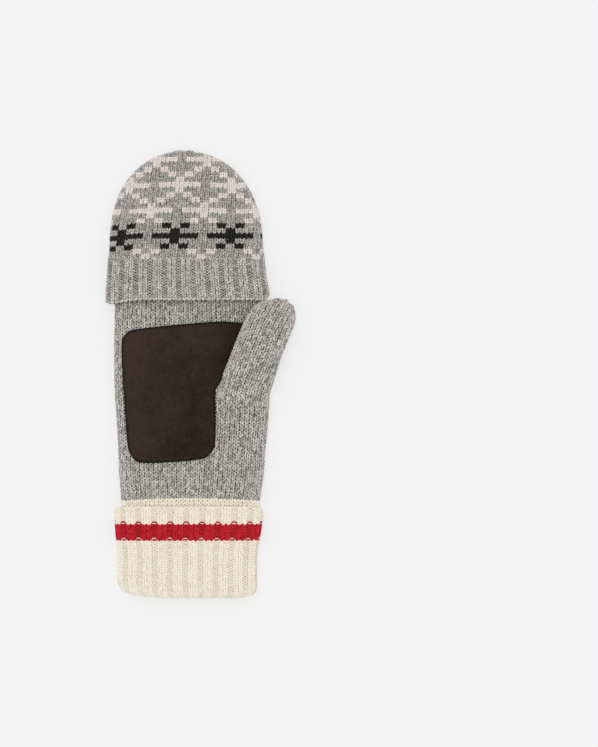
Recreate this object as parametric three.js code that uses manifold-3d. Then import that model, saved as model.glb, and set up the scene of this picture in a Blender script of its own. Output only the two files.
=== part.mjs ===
// A convertible mitten lying palm up: fingers along +Y, thumb towards +X, the floor at z = 0. Millimetres.
import * as THREE from 'three';
import { mergeVertices } from 'three/addons/utils/BufferGeometryUtils.js';
import Module from 'manifold-3d';

const wasm = await Module();
wasm.setup();

// Thickness of the knitting and the leather, and the clearances between pieces
const HAND_WALL = 2.6;
const THUMB_WALL = 2.3;
const RIB_WALL = 2.8;
const RIB_DEPTH = 0.6;
const SUEDE = 1.2;
const LAYER_GAP = 0.4;
const SEAM_GAP = 0.3;
const WELD = 0.05;

// Where one piece ends and the next begins, along the mitten
const WRIST_Y = -79.2;
const FINGER_EDGE_Y = 71.5;
const CUFF_EDGE_Y = -83.8;
const STRIPE_TOP_Y = -94.7;
const STRIPE_LOW_Y = -105;
const FOLD_Y = -142.2;
const HEM_Y = 47.2;
const HEM_TOP_Y = 74.3;
const CROWN_Y = 85;
const CAP_TIP_Y = 142.2;

// Rounds of stitches counted as ribs, and the points along a ring
const HAND_POINTS = 48;
const THUMB_POINTS = 28;
const CAP_RIBS = 24;
const CUFF_RIBS = 20;
const RIB_POINTS = 3;

// Form of a flattened tube: how square it is, where it is widest, and how hard it is pressed on the floor
const TUBE_POWER = 6;
const THUMB_POWER = 3.6;
const WIDEST_AT = 0.42;
const PRESS = 1.12;
const DENSE_STEPS = 480;

// The grey hand. The palm dips on the thumb's side, where the thumb lies on it
const THUMB_DIP = { from: 4, to: 30 };
const HAND = [
  { y: WRIST_Y, left: -50.4, right: 37.6, under: 3.2, over: 14.4, beside: 14.4 },
  { y: -71, left: -50.9, right: 38.8, under: 1.8, over: 13.6, beside: 13.4 },
  { y: -61, left: -51.8, right: 40.2, under: 0.3, over: 12.7, beside: 12.4 },
  { y: -51, left: -52.1, right: 40.8, under: 0, over: 12.3, beside: 12.0 },
  { y: -36, left: -52.8, right: 42.3, under: 0, over: 12.2, beside: 12.0 },
  { y: -19, left: -53.9, right: 43.5, under: 0, over: 12.2, beside: 11.9 },
  { y: -8, left: -54.6, right: 43.4, under: 0, over: 12.2, beside: 10.2 },
  { y: 5, left: -54.8, right: 42.6, under: 0, over: 12.2, beside: 8.6 },
  { y: 20, left: -54.8, right: 41.6, under: 0, over: 12.2, beside: 8.4 },
  { y: 34, left: -54.5, right: 40.6, under: 0.9, over: 12.5, beside: 9.2 },
  { y: 44, left: -54.4, right: 39.7, under: 2.6, over: 13.2, beside: 11.6 },
  { y: 52, left: -54.6, right: 39.0, under: 3.2, over: 13.6, beside: 13.0 },
  { y: FINGER_EDGE_Y, left: -54.4, right: 37.2, under: 3.2, over: 13.7, beside: 13.4 },
];

// The cap, up to where its crown begins
const CAP = [
  { y: 43, left: -60.0, right: 44.2, under: 0, over: 16.9 },
  { y: 52, left: -60.2, right: 43.3, under: 0, over: 16.9 },
  { y: 62, left: -59.7, right: 41.8, under: 0, over: 16.9 },
  { y: 74.3, left: -58.7, right: 40.5, under: 0, over: 16.8 },
  { y: 82, left: -57.7, right: 39.5, under: 0, over: 16.6 },
  { y: 85, left: -57.4, right: 39.2, under: 0, over: 16.5 },
];
// The hem's lower edge droops at the left and lifts beside the thumb
const HEM_DROOP = { amount: 2.3, from: -44, to: -58 };
const HEM_LIFT = { amount: 5, from: 38, to: 44.5 };
const HEM_LEVELS = [HEM_Y, 60, HEM_TOP_Y - 1.5];
const ABOVE_HEM_DEPTH = 0.2;
// The crown closes on an arc in plan, and rounds over in thickness near its tip
const CROWN = { plan: 2.1, thickness: 9, thinnest: 12.5, shares: [0.22, 0.42, 0.6, 0.75, 0.86, 0.94, 0.985] };

// The cuff's outside, from its free edge to the fold. Its corners round up at the sides
const CUFF = [
  { y: -142.2, left: -50.8, right: 35.3, under: 0, over: 17.2 },
  { y: -137.5, left: -51.6, right: 35.7, under: 0, over: 17.5 },
  { y: -128, left: -52.4, right: 35.6, under: 0, over: 17.6 },
  { y: -116, left: -52.1, right: 35.7, under: 0, over: 17.6 },
  { y: -107, left: -53.0, right: 36.7, under: 0, over: 17.6 },
  { y: -99, left: -53.7, right: 38.2, under: 0, over: 17.6 },
  { y: -91, left: -54.1, right: 39.1, under: 0, over: 17.6 },
  { y: -83.8, left: -54.3, right: 39.4, under: 0, over: 17.5 },
];
const FOLD_REACH = 12;
const FOLD_LEFT = { lift: 6, from: -20, to: -52, power: 3 };
const FOLD_RIGHT = { lift: 3, from: 10, to: 36, power: 4 };
// Depths of the layer inside the turned-up one
const LINING_DEPTH = RIB_WALL + LAYER_GAP;
const DEEPEST = LINING_DEPTH + RIB_WALL;
// Rings of the cuff from its stripe down to the fold, and from there up inside to the wrist and back down between
const CUFF_OUTSIDE = [
  { y: STRIPE_LOW_Y - SEAM_GAP, depth: 0 },
  { y: -121, depth: 0 },
  { y: -137.5, depth: 0 },
  { y: -140.9, depth: 0.9 },
  { y: FOLD_Y, depth: 2.7 },
];
const CUFF_INSIDE = [
  { y: -140.6, depth: 5 },
  { y: -136, depth: DEEPEST },
  { y: -108, depth: DEEPEST },
  { y: -87.8, depth: DEEPEST },
  { y: WRIST_Y - SEAM_GAP, depth: 5 },
  { y: WRIST_Y - SEAM_GAP, depth: 2.2 },
  { y: -85.3, depth: LINING_DEPTH },
  { y: -108, depth: LINING_DEPTH },
  { y: -135, depth: LINING_DEPTH },
  { y: -135, depth: RIB_WALL },
  { y: STRIPE_LOW_Y - SEAM_GAP, depth: RIB_WALL },
];

// The thumb's middle line, with its width across, its turn from +Y, its middle height, its thickness and its roll
const THUMB = [
  { y: -18.4, x: 26.2, wide: 34.6, turn: 0, middle: 7.9, thick: 8.0, roll: 0 },
  { y: -9.5, x: 28.2, wide: 33.4, turn: 12, middle: 9.7, thick: 9.6, roll: 2 },
  { y: 5.2, x: 33.6, wide: 32.0, turn: 21, middle: 13.2, thick: 11.0, roll: 6 },
  { y: 14, x: 36.7, wide: 31.4, turn: 22, middle: 14.9, thick: 11.0, roll: 8 },
  { y: 22.3, x: 39.9, wide: 31.2, turn: 22, middle: 15.2, thick: 11.0, roll: 9 },
  { y: 29.5, x: 42.7, wide: 31.0, turn: 22, middle: 14.5, thick: 10.8, roll: 10 },
  { y: 35.2, x: 45.4, wide: 29.8, turn: 22, middle: 13.4, thick: 10.4, roll: 10 },
  { y: 40.4, x: 48.1, wide: 26.6, turn: 21, middle: 12.1, thick: 9.8, roll: 10 },
  { y: 44.6, x: 50.4, wide: 19.8, turn: 18, middle: 11.0, thick: 8.2, roll: 10 },
  { y: 46.8, x: 51.4, wide: 12.4, turn: 11, middle: 10.4, thick: 5.4, roll: 10 },
  { y: 47.8, x: 51.0, wide: 6.4, turn: 4, middle: 10.1, thick: 2.0, roll: 10 },
];
const THUMB_MOUTH = 3;
const THUMB_TIP = 0.4;

// The patch's four edges, each from one corner to the next
const PATCH_SIDE_STEPS = 18;
const PATCH_ACROSS_STEPS = 14;
const PATCH_LEFT = [
  { x: -42.2, y: -53.4 },
  { x: -45.9, y: -45.7 },
  { x: -48.5, y: -12.7 },
  { x: -49.9, y: 20.2 },
  { x: -46.8, y: 26.6 },
];
const PATCH_RIGHT = [
  { x: 5.0, y: -51.4 },
  { x: 8.5, y: -44.0 },
  { x: 8.6, y: -12.0 },
  { x: 14.2, y: 0.8 },
  { x: 21.5, y: 16.5 },
  { x: 27.2, y: 30.0 },
  { x: 27.0, y: 33.0 },
];
const PATCH_LOW = [
  { x: -42.2, y: -53.4 },
  { x: -37.5, y: -55.6 },
  { x: -20.0, y: -55.4 },
  { x: 0.5, y: -53.3 },
  { x: 5.0, y: -51.4 },
];
const PATCH_HIGH = [
  { x: -46.8, y: 26.6 },
  { x: -42.2, y: 28.7 },
  { x: -8.0, y: 32.4 },
  { x: 14.0, y: 33.8 },
  { x: 27.0, y: 33.0 },
];

// Finishes
const GREY_YARN = new THREE.MeshStandardMaterial({ color: 0x9a968f, roughness: 0.95, metalness: 0 });
const CREAM_YARN = new THREE.MeshStandardMaterial({ color: 0xe8ddca, roughness: 0.95, metalness: 0 });
const RED_YARN = new THREE.MeshStandardMaterial({ color: 0xac212c, roughness: 0.95, metalness: 0 });
const BROWN_SUEDE = new THREE.MeshStandardMaterial({ color: 0x33271f, roughness: 0.9, metalness: 0 });

// Smooth steps and table reading

function ease(from, to, value) {
  const share = THREE.MathUtils.clamp((value - from) / (to - from), 0, 1);
  return share * share * (3 - 2 * share);
}

// A column's value between a table's rows, on a smooth curve through them
function read(rows, column, y) {
  const last = rows.length - 1;
  const at = Math.min(Math.max(rows.findIndex((row) => row.y >= y), 1), last);
  const low = rows[at - 1];
  const high = y > rows[last].y ? rows[last] : rows[at];
  const share = THREE.MathUtils.clamp((y - low.y) / (high.y - low.y), 0, 1);
  const before = rows[Math.max(at - 2, 0)];
  const after = rows[Math.min(at + 1, last)];
  const span = high.y - low.y;
  const slopeLow = (span * (high[column] - before[column])) / (high.y - before.y);
  const slopeHigh = (span * (after[column] - low[column])) / (after.y - low.y);
  const square = share * share;
  const cube = square * share;
  const fromLow = (2 * cube - 3 * square + 1) * low[column] + (cube - 2 * square + share) * slopeLow;
  const fromHigh = (3 * square - 2 * cube) * high[column] + (cube - square) * slopeHigh;
  return fromLow + fromHigh;
}

// Sections of a flattened tube

// The height of the palm side over a place across the section
function heightOver(section, x) {
  const beside = section.beside ?? section.over;
  return section.over + (beside - section.over) * ease(THUMB_DIP.from, THUMB_DIP.to, x);
}

function palmHeight(section, x) {
  const middle = (section.left + section.right) / 2;
  const across = Math.min(1, Math.abs(x - middle) / ((section.right - section.left) / 2));
  const over = heightOver(section, x);
  const widest = section.under + WIDEST_AT * (over - section.under);
  return widest + (over - widest) * Math.sqrt(1 - across ** section.power);
}

function backHeight(section, x) {
  const middle = (section.left + section.right) / 2;
  const across = Math.min(1, Math.abs(x - middle) / ((section.right - section.left) / 2));
  const widest = section.under + WIDEST_AT * (heightOver(section, x) - section.under);
  return widest - (widest - section.under) * Math.min(1, PRESS * Math.sqrt(1 - across ** section.power));
}

// Points spaced evenly round a section, from its left edge over the palm side and back underneath
function around(section, count) {
  const middle = (section.left + section.right) / 2;
  const half = (section.right - section.left) / 2;
  const dense = [];
  for (let step = 0; step < DENSE_STEPS; step++) {
    const angle = (2 * Math.PI * step) / DENSE_STEPS;
    const x = middle - half * Math.cos(angle);
    const z = angle <= Math.PI ? palmHeight(section, x) : backHeight(section, x);
    dense.push(new THREE.Vector3(x, z, 0));
  }
  const loop = new THREE.CatmullRomCurve3(dense, true, 'catmullrom', 0);
  loop.arcLengthDivisions = DENSE_STEPS * 2;
  return loop.getSpacedPoints(count).slice(0, count);
}

function inset(section, depth) {
  return {
    ...section,
    left: section.left + depth,
    right: section.right - depth,
    under: section.under + depth,
    over: section.over - depth,
    beside: (section.beside ?? section.over) - depth,
  };
}

function sectionOf(rows, y) {
  return {
    left: read(rows, 'left', y),
    right: read(rows, 'right', y),
    under: read(rows, 'under', y),
    over: read(rows, 'over', y),
    beside: rows[0].beside === undefined ? undefined : read(rows, 'beside', y),
    power: TUBE_POWER,
  };
}

// A ring across the mitten. Between its ribs the surface is lower by the rib's depth
function ring(section, y, count, ribDepth = 0) {
  const high = around(section, count);
  const low = ribDepth ? around(inset(section, ribDepth), count) : high;
  return high.map((point, i) => {
    const chosen = i % RIB_POINTS === RIB_POINTS - 1 ? low[i] : point;
    return new THREE.Vector3(chosen.x, y, chosen.y);
  });
}

// Skins and solids

// Joins rings into one closed skin. Two poles close its ends, and without them the last ring meets the first
function skin(rings, poles = []) {
  const count = rings[0].length;
  const points = rings.flat();
  const faces = [];
  const joined = poles.length ? rings.length - 1 : rings.length;
  for (let r = 0; r < joined; r++) {
    const here = r * count;
    const next = ((r + 1) % rings.length) * count;
    for (let i = 0; i < count; i++) {
      const j = (i + 1) % count;
      faces.push([here + i, here + j, next + j], [here + i, next + j, next + i]);
    }
  }
  poles.forEach((pole, end) => {
    const first = end === 0 ? 0 : (rings.length - 1) * count;
    for (let i = 0; i < count; i++) {
      const j = (i + 1) % count;
      const face = [first + i, points.length, first + j];
      faces.push(end === 0 ? face : face.reverse());
    }
    points.push(pole);
  });
  return facingOut(points, faces);
}

function facingOut(points, faces) {
  let volume = 0;
  for (const [a, b, c] of faces) volume += points[a].dot(points[b].clone().cross(points[c]));
  const turned = volume < 0 ? faces.map((face) => [...face].reverse()) : faces;
  const geometry = new THREE.BufferGeometry();
  geometry.setAttribute('position', new THREE.Float32BufferAttribute(points.flatMap((p) => p.toArray()), 3));
  geometry.setIndex(turned.flat());
  return geometry;
}

function middleOf(points) {
  return points.reduce((sum, point) => sum.add(point), new THREE.Vector3()).divideScalar(points.length);
}

function toSolid(geometry) {
  const merged = mergeVertices(geometry, 1e-4);
  return new wasm.Manifold(
    new wasm.Mesh({
      numProp: 3,
      vertProperties: new Float32Array(merged.attributes.position.array),
      triVerts: new Uint32Array(merged.index.array),
    }),
  );
}

// The largest body of a solid, as a geometry whose corners closer than a weld's length are one
function toGeometry(solid) {
  const bodies = solid.decompose();
  const main = bodies.reduce((best, body) => (body.volume() > best.volume() ? body : best));
  const { vertProperties, triVerts } = main.getMesh();
  const geometry = new THREE.BufferGeometry();
  geometry.setAttribute('position', new THREE.BufferAttribute(new Float32Array(vertProperties), 3));
  geometry.setIndex(new THREE.BufferAttribute(new Uint32Array(triVerts), 1));
  const welded = mergeVertices(geometry, WELD);
  const corners = Array.from(welded.index.array);
  const kept = [];
  for (let i = 0; i < corners.length; i += 3) {
    const [a, b, c] = corners.slice(i, i + 3);
    if (a !== b && b !== c && c !== a) kept.push(a, b, c);
  }
  welded.setIndex(kept);
  return welded;
}

// Hand and thumb

function handRings(depth) {
  return HAND.map((row) => ring(inset(sectionOf(HAND, row.y), depth), row.y, HAND_POINTS));
}

function handTube() {
  return skin([...handRings(0), ...handRings(HAND_WALL).reverse()]);
}

function handHollow() {
  const rings = handRings(HAND_WALL);
  return skin(rings, [middleOf(rings[0]), middleOf(rings.at(-1))]);
}

// A ring round the thumb's middle line, grown or shrunk all round
function thumbRing(row, grow, back = 0) {
  const half = row.wide / 2 + grow;
  const section = {
    left: -half,
    right: half,
    under: -row.thick / 2 - grow,
    over: row.thick / 2 + grow,
    power: THUMB_POWER,
  };
  const turn = THREE.MathUtils.degToRad(row.turn);
  const roll = THREE.MathUtils.degToRad(row.roll);
  return around(section, THUMB_POINTS).map((point) => {
    const across = point.x * Math.cos(roll) + point.y * Math.sin(roll);
    const up = point.y * Math.cos(roll) - point.x * Math.sin(roll);
    return new THREE.Vector3(
      row.x + across * Math.cos(turn),
      row.y - across * Math.sin(turn) - back,
      row.middle + up,
    );
  });
}

function thumbSolid(grow, back) {
  const wide = THUMB.filter((row) => Math.min(row.wide, row.thick) / 2 + grow > SEAM_GAP);
  const rings = wide.map((row) => thumbRing(row, grow));
  if (back) rings.unshift(thumbRing(THUMB[0], grow, back));
  const tip = middleOf(rings.at(-1));
  const ahead = new THREE.Vector3(0, Math.max(0, THUMB_TIP + grow), 0);
  return skin(rings, [middleOf(rings[0]), tip.add(ahead)]);
}

function makeHand() {
  const opening = toSolid(thumbSolid(SEAM_GAP, SEAM_GAP));
  return toGeometry(toSolid(handTube()).subtract(opening));
}

function makeThumb() {
  const outside = toSolid(thumbSolid(0, 0));
  const inside = toSolid(thumbSolid(-THUMB_WALL, THUMB_MOUTH));
  return toGeometry(outside.subtract(inside).subtract(toSolid(handHollow())));
}

// Palm patch

function alongEdge(edge, share) {
  const curve = new THREE.CatmullRomCurve3(edge.map((p) => new THREE.Vector3(p.x, p.y, 0)), false, 'centripetal');
  return curve.getPoint(share);
}

// A place on the patch, worked out from its four edges
function patchPlace(across, along) {
  const side = alongEdge(PATCH_LEFT, along).multiplyScalar(1 - across);
  side.add(alongEdge(PATCH_RIGHT, along).multiplyScalar(across));
  const end = alongEdge(PATCH_LOW, across).multiplyScalar(1 - along);
  end.add(alongEdge(PATCH_HIGH, across).multiplyScalar(along));
  const low = alongEdge(PATCH_LOW, 0).lerp(alongEdge(PATCH_LOW, 1), across);
  const high = alongEdge(PATCH_HIGH, 0).lerp(alongEdge(PATCH_HIGH, 1), across);
  return side.add(end).sub(low.lerp(high, along));
}

function makePatch() {
  const points = [];
  for (const lift of [SEAM_GAP, SEAM_GAP + SUEDE]) {
    for (let row = 0; row <= PATCH_SIDE_STEPS; row++) {
      for (let column = 0; column <= PATCH_ACROSS_STEPS; column++) {
        const place = patchPlace(column / PATCH_ACROSS_STEPS, row / PATCH_SIDE_STEPS);
        const palm = palmHeight(sectionOf(HAND, place.y), place.x);
        points.push(new THREE.Vector3(place.x, place.y, palm + lift));
      }
    }
  }
  const wide = PATCH_ACROSS_STEPS + 1;
  const layer = wide * (PATCH_SIDE_STEPS + 1);
  const faces = [];
  for (let row = 0; row < PATCH_SIDE_STEPS; row++) {
    for (let column = 0; column < PATCH_ACROSS_STEPS; column++) {
      const a = row * wide + column;
      const corners = [a, a + 1, a + wide + 1, a + wide];
      const [p, q, r, s] = corners;
      faces.push([p, r, q], [p, s, r]);
      const [tp, tq, tr, ts] = corners.map((corner) => corner + layer);
      faces.push([tp, tq, tr], [tp, tr, ts]);
    }
  }
  const rim = [];
  for (let column = 0; column < PATCH_ACROSS_STEPS; column++) rim.push(column);
  for (let row = 0; row < PATCH_SIDE_STEPS; row++) rim.push(row * wide + PATCH_ACROSS_STEPS);
  for (let column = PATCH_ACROSS_STEPS; column > 0; column--) rim.push(PATCH_SIDE_STEPS * wide + column);
  for (let row = PATCH_SIDE_STEPS; row > 0; row--) rim.push(row * wide);
  rim.forEach((a, i) => {
    const b = rim[(i + 1) % rim.length];
    faces.push([a, b, b + layer], [a, b + layer, a + layer]);
  });
  return facingOut(points, faces);
}

// Cap

// The hem's lower edge, as a distance from its level in the middle
function hemShift(x) {
  const droop = HEM_DROOP.amount * ease(-HEM_DROOP.from, -HEM_DROOP.to, -x);
  return HEM_LIFT.amount * ease(HEM_LIFT.from, HEM_LIFT.to, x) - droop;
}

function capRing(y, depth, ribDepth) {
  const section = inset(sectionOf(CAP, y), depth);
  const level = 1 - ease(HEM_Y, HEM_TOP_Y, y);
  return ring(section, y, CAP_RIBS * RIB_POINTS, ribDepth).map((point) => {
    point.y += level * hemShift(point.x);
    return point;
  });
}

// A ring of the crown, at a share of the way from its base to the tip
function crownRing(share, depth) {
  const base = sectionOf(CAP, CROWN_Y);
  const middle = (base.left + base.right) / 2;
  const half = ((base.right - base.left) / 2 - depth) * (1 - share ** CROWN.plan) ** (1 / CROWN.plan);
  const deepest = base.over + (CROWN.thinnest - base.over) * share;
  const thick = (deepest - 2 * depth) * Math.sqrt(1 - share ** CROWN.thickness);
  const widest = WIDEST_AT * deepest;
  const section = {
    left: middle - half,
    right: middle + half,
    under: widest - WIDEST_AT * thick,
    over: widest + (1 - WIDEST_AT) * thick,
    power: TUBE_POWER,
  };
  const reach = CAP_TIP_Y - CROWN_Y - depth;
  return ring(section, CROWN_Y + share * reach, CAP_RIBS * RIB_POINTS);
}

function capTip(depth) {
  const last = middleOf(crownRing(CROWN.shares.at(-1), depth));
  return last.setY(CAP_TIP_Y - depth);
}

function makeCap() {
  const outside = [
    ...HEM_LEVELS.map((y) => capRing(y, 0, RIB_DEPTH)),
    capRing(HEM_TOP_Y, ABOVE_HEM_DEPTH, 0),
    capRing(CROWN_Y, 0, 0),
    ...CROWN.shares.map((share) => crownRing(share, 0)),
  ];
  const inside = [
    ...HEM_LEVELS.map((y) => capRing(y, RIB_WALL, 0)),
    capRing(CROWN_Y, RIB_WALL, 0),
    ...CROWN.shares.map((share) => crownRing(share, RIB_WALL)),
  ];
  return skin([...outside.reverse(), ...inside], [capTip(0), capTip(RIB_WALL)]);
}

// Cuff

// How far the fold is raised towards the sides
function foldLift(x) {
  return [FOLD_LEFT, FOLD_RIGHT].reduce((sum, side) => {
    const share = THREE.MathUtils.clamp((x - side.from) / (side.to - side.from), 0, 1);
    return sum + side.lift * share ** side.power;
  }, 0);
}

function cuffRing(y, depth, ribDepth = 0) {
  const section = inset(sectionOf(CUFF, y), depth);
  const low = ease(FOLD_Y + FOLD_REACH, FOLD_Y, y);
  return ring(section, y, CUFF_RIBS * RIB_POINTS, ribDepth).map((point) => {
    point.y += low * foldLift(point.x);
    return point;
  });
}

function makeCuff() {
  const outside = CUFF_OUTSIDE.map((row) => cuffRing(row.y, row.depth, RIB_DEPTH));
  const inside = CUFF_INSIDE.map((row) => cuffRing(row.y, row.depth));
  return skin([...outside, ...inside]);
}

// A ring of the turned-up layer between two levels
function makeCuffBand(low, high) {
  const rings = [
    cuffRing(low, 0, RIB_DEPTH),
    cuffRing(high, 0, RIB_DEPTH),
    cuffRing(high, RIB_WALL, 0),
    cuffRing(low, RIB_WALL, 0),
  ];
  return skin(rings);
}

// The mitten

function named(name, geometry, material) {
  const mesh = new THREE.Mesh(geometry, material);
  mesh.name = name;
  return mesh;
}

const mitten = new THREE.Group();
mitten.add(named('hand', makeHand(), GREY_YARN));
mitten.add(named('thumb', makeThumb(), GREY_YARN));
mitten.add(named('palm_patch', makePatch(), BROWN_SUEDE));
mitten.add(named('cap', makeCap(), GREY_YARN));
mitten.add(named('cuff', makeCuff(), CREAM_YARN));
mitten.add(named('cuff_stripe', makeCuffBand(STRIPE_LOW_Y, STRIPE_TOP_Y - SEAM_GAP), RED_YARN));
mitten.add(named('cuff_edge', makeCuffBand(STRIPE_TOP_Y, CUFF_EDGE_Y), CREAM_YARN));

export default mitten;
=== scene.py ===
# A convertible mitten lying flat on a pale floor, palm up, seen from straight above.
import math

import bpy
import numpy as np
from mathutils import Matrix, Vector


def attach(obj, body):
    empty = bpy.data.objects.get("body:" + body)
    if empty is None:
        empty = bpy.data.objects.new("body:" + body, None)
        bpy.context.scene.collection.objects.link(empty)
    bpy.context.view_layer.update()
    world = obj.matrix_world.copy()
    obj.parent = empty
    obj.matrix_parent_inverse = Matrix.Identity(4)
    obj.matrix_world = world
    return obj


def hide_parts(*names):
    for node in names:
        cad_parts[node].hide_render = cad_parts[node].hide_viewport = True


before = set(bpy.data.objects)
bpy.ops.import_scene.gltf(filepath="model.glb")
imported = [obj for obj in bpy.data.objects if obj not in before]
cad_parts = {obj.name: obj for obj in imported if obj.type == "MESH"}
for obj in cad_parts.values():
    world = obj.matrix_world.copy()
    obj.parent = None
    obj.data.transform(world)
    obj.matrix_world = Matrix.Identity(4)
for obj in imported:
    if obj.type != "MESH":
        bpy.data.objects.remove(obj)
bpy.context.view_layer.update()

# The camera hangs straight above the floor on a long lens, with the mitten in the left half of its picture.
# The picture's height is measured where the mitten is widest, EDGE_HEIGHT above the floor. All is in metres.
CAMERA_HEIGHT = 2.6
EDGE_HEIGHT = 0.012
PICTURE_HEIGHT = 0.4731
PICTURE_MIDDLE = (0.0625, 0.0009)
lens = bpy.data.cameras.new("camera")
lens.sensor_width = 36
lens.lens = lens.sensor_width * (CAMERA_HEIGHT - EDGE_HEIGHT) / PICTURE_HEIGHT
camera = bpy.data.objects.new("camera", lens)
camera.location = (*PICTURE_MIDDLE, CAMERA_HEIGHT)
bpy.context.collection.objects.link(camera)
bpy.context.scene.camera = camera
bpy.context.scene.view_settings.view_transform = "Standard"

# The white room lights the mitten from all round, and one wide lamp adds a little from above the finger end,
# so the shadows are faint.
WHITE = (1, 1, 1, 1)
ROOM_LIGHT = 0.8
LAMP_LIGHT = 0.78
LAMP_DEGREES = 30
TOWARDS_LAMP = (-0.1, 0.2, 1)
studio = bpy.data.worlds.new("studio")
studio.use_nodes = True
studio.node_tree.nodes["Background"].inputs["Color"].default_value = WHITE
studio.node_tree.nodes["Background"].inputs["Strength"].default_value = ROOM_LIGHT
bpy.context.scene.world = studio
lamp = bpy.data.lights.new("overhead lamp", "SUN")
lamp.angle = math.radians(LAMP_DEGREES)
lamp.energy = LAMP_LIGHT
lamp_holder = bpy.data.objects.new("overhead lamp", lamp)
lamp_holder.rotation_euler = Vector(TOWARDS_LAMP).to_track_quat("Z", "Y").to_euler()
bpy.context.collection.objects.link(lamp_holder)


# The floor is one wide board, pale and without gloss. It glows a little, as a photographer's table lit from
# below does, so the ground of the picture stays nearly white.
def add_mesh(name, points, faces, material):
    """A smooth-shaded mesh, its points given in mm."""
    mesh = bpy.data.meshes.new(name)
    mesh.from_pydata((np.asarray(points) / 1000).tolist(), [], np.asarray(faces).tolist())
    mesh.materials.append(material)
    mesh.shade_smooth()
    piece = bpy.data.objects.new(name, mesh)
    bpy.context.collection.objects.link(piece)
    return piece


def new_material(name, roughness, gloss):
    """A material with its nodes and its shader."""
    material = bpy.data.materials.new(name)
    material.use_nodes = True
    shader = material.node_tree.nodes["Principled BSDF"]
    shader.inputs["Roughness"].default_value = roughness
    shader.inputs["Specular IOR Level"].default_value = gloss
    return material, material.node_tree, shader


FLOOR_HALF = 2500
FLOOR_GREY = 0.28
FLOOR_GLOW = 0.614
board, _, board_shader = new_material("pale board", 0.9, 0.1)
board_shader.inputs["Base Color"].default_value = (FLOOR_GREY, FLOOR_GREY, FLOOR_GREY, 1)
board_shader.inputs["Emission Color"].default_value = WHITE
board_shader.inputs["Emission Strength"].default_value = FLOOR_GLOW
board_corners = [(x * FLOOR_HALF, y * FLOOR_HALF, 0) for x, y in ((-1, -1), (1, -1), (1, 1), (-1, 1))]
add_mesh("floor", board_corners, [(0, 1, 2, 3)], board)


# The cuff is one strip of cream wool in K2P1 rib with a red stripe. It is knitted on at the wrist, runs down
# inside, folds at the bottom and is turned up over itself. From here on lengths are in mm, and the fingers
# point to +y. Rows of CUFF: y, left, right, under, over.
CUFF = np.array([
    (-142.2, -50.8, 35.3, 0, 17.2),
    (-137.5, -51.6, 35.7, 0, 17.5),
    (-128, -52.4, 35.6, 0, 17.6),
    (-116, -52.1, 35.7, 0, 17.6),
    (-107, -53.0, 36.7, 0, 17.6),
    (-99, -53.7, 38.2, 0, 17.6),
    (-91, -54.1, 39.1, 0, 17.6),
    (-83.8, -54.3, 39.4, 0, 17.5),
])
CUFF_COLUMNS = 60
CUFF_ROWS = 46
CUFF_ROW = 1.7125
CUFF_TOP_Y = -83.3
CAST_OFF = 0.7
FOLD_MIDDLE_Y = -138.1
FOLD_RADIUS = 3.0
WRIST_Y = -79.2
WRIST_SECTION = np.array([-50.4, 37.6, 3.2, 14.4, 14.4])
# A cloth is a grid of places, PLACES to a stitch. SQUARE is how square a tube lies, WIDEST where it is widest,
# as a share of its thickness, and BACK_FULLER how much fuller its back is than its palm.
PLACES = 4
SQUARE = 6
WIDEST = 0.42
BACK_FULLER = 1.12
BESIDE_THUMB_X = (4, 30)
OUTLINE_POINTS = 721


def ease(start, end, value):
    """A smooth step, from 0 at the start to 1 at the end."""
    share = np.clip((value - start) / (end - start), 0, 1)
    return share * share * (3 - 2 * share)


def read(table, column, y):
    """A column of a table at any y, on a smooth curve through its rows."""
    levels, values = table[:, 0], table[:, column]
    before, after = np.arange(len(levels)) - 1, np.arange(len(levels)) + 1
    before[0], after[-1] = 0, len(levels) - 1
    slopes = (values[after] - values[before]) / (levels[after] - levels[before])
    y = np.clip(y, levels[0], levels[-1])
    low = np.clip(np.searchsorted(levels, y, side="right") - 1, 0, len(levels) - 2)
    span = levels[low + 1] - levels[low]
    share = (y - levels[low]) / span
    rise = 3 * share**2 - 2 * share**3
    bend = share * (1 - share) * span * ((1 - share) * slopes[low] - share * slopes[low + 1])
    return values[low] * (1 - rise) + values[low + 1] * rise + bend


def sections(table, y, depth=0):
    """Left, right, under, over and the palm's height beside the thumb, at each y, all moved in by a depth."""
    y, depth = np.broadcast_arrays(np.asarray(y, float), depth)
    found = [read(table, column, y) for column in range(1, table.shape[1])]
    if len(found) == 4:
        found.append(found[3])
    left, right, under, over, beside = found
    return np.stack([left + depth, right - depth, under + depth, over - depth, beside - depth], 1)


def palm_height(section, x, square=SQUARE):
    """The height where a section is widest, its height over x on the palm side, and how full it is there."""
    left, right, under, over, beside = section
    across = np.clip(np.abs(x - (left + right) / 2) / max((right - left) / 2, 1e-6), 0, 1)
    fullness = np.sqrt(1 - across**square)
    top = over + (beside - over) * ease(*BESIDE_THUMB_X, x) if beside != over else over
    widest = under + WIDEST * (top - under)
    return widest, widest + (top - widest) * fullness, fullness


def added_up(steps):
    """The length from the start to each end of a run of steps."""
    return np.concatenate([[0], np.cumsum(steps)])


def outline(section, square=SQUARE):
    """A closed section from its left edge over the palm side and back underneath, with the length along it."""
    left, right, under, over, beside = section
    angle = np.linspace(0, 2 * np.pi, OUTLINE_POINTS)
    x = (left + right) / 2 - (right - left) / 2 * np.cos(angle)
    widest, palm, fullness = palm_height(section, x, square)
    back = widest - (widest - under) * np.minimum(1, BACK_FULLER * fullness)
    z = np.where(angle <= np.pi, palm, back)
    return x, z, added_up(np.hypot(np.diff(x), np.diff(z)))


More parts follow.
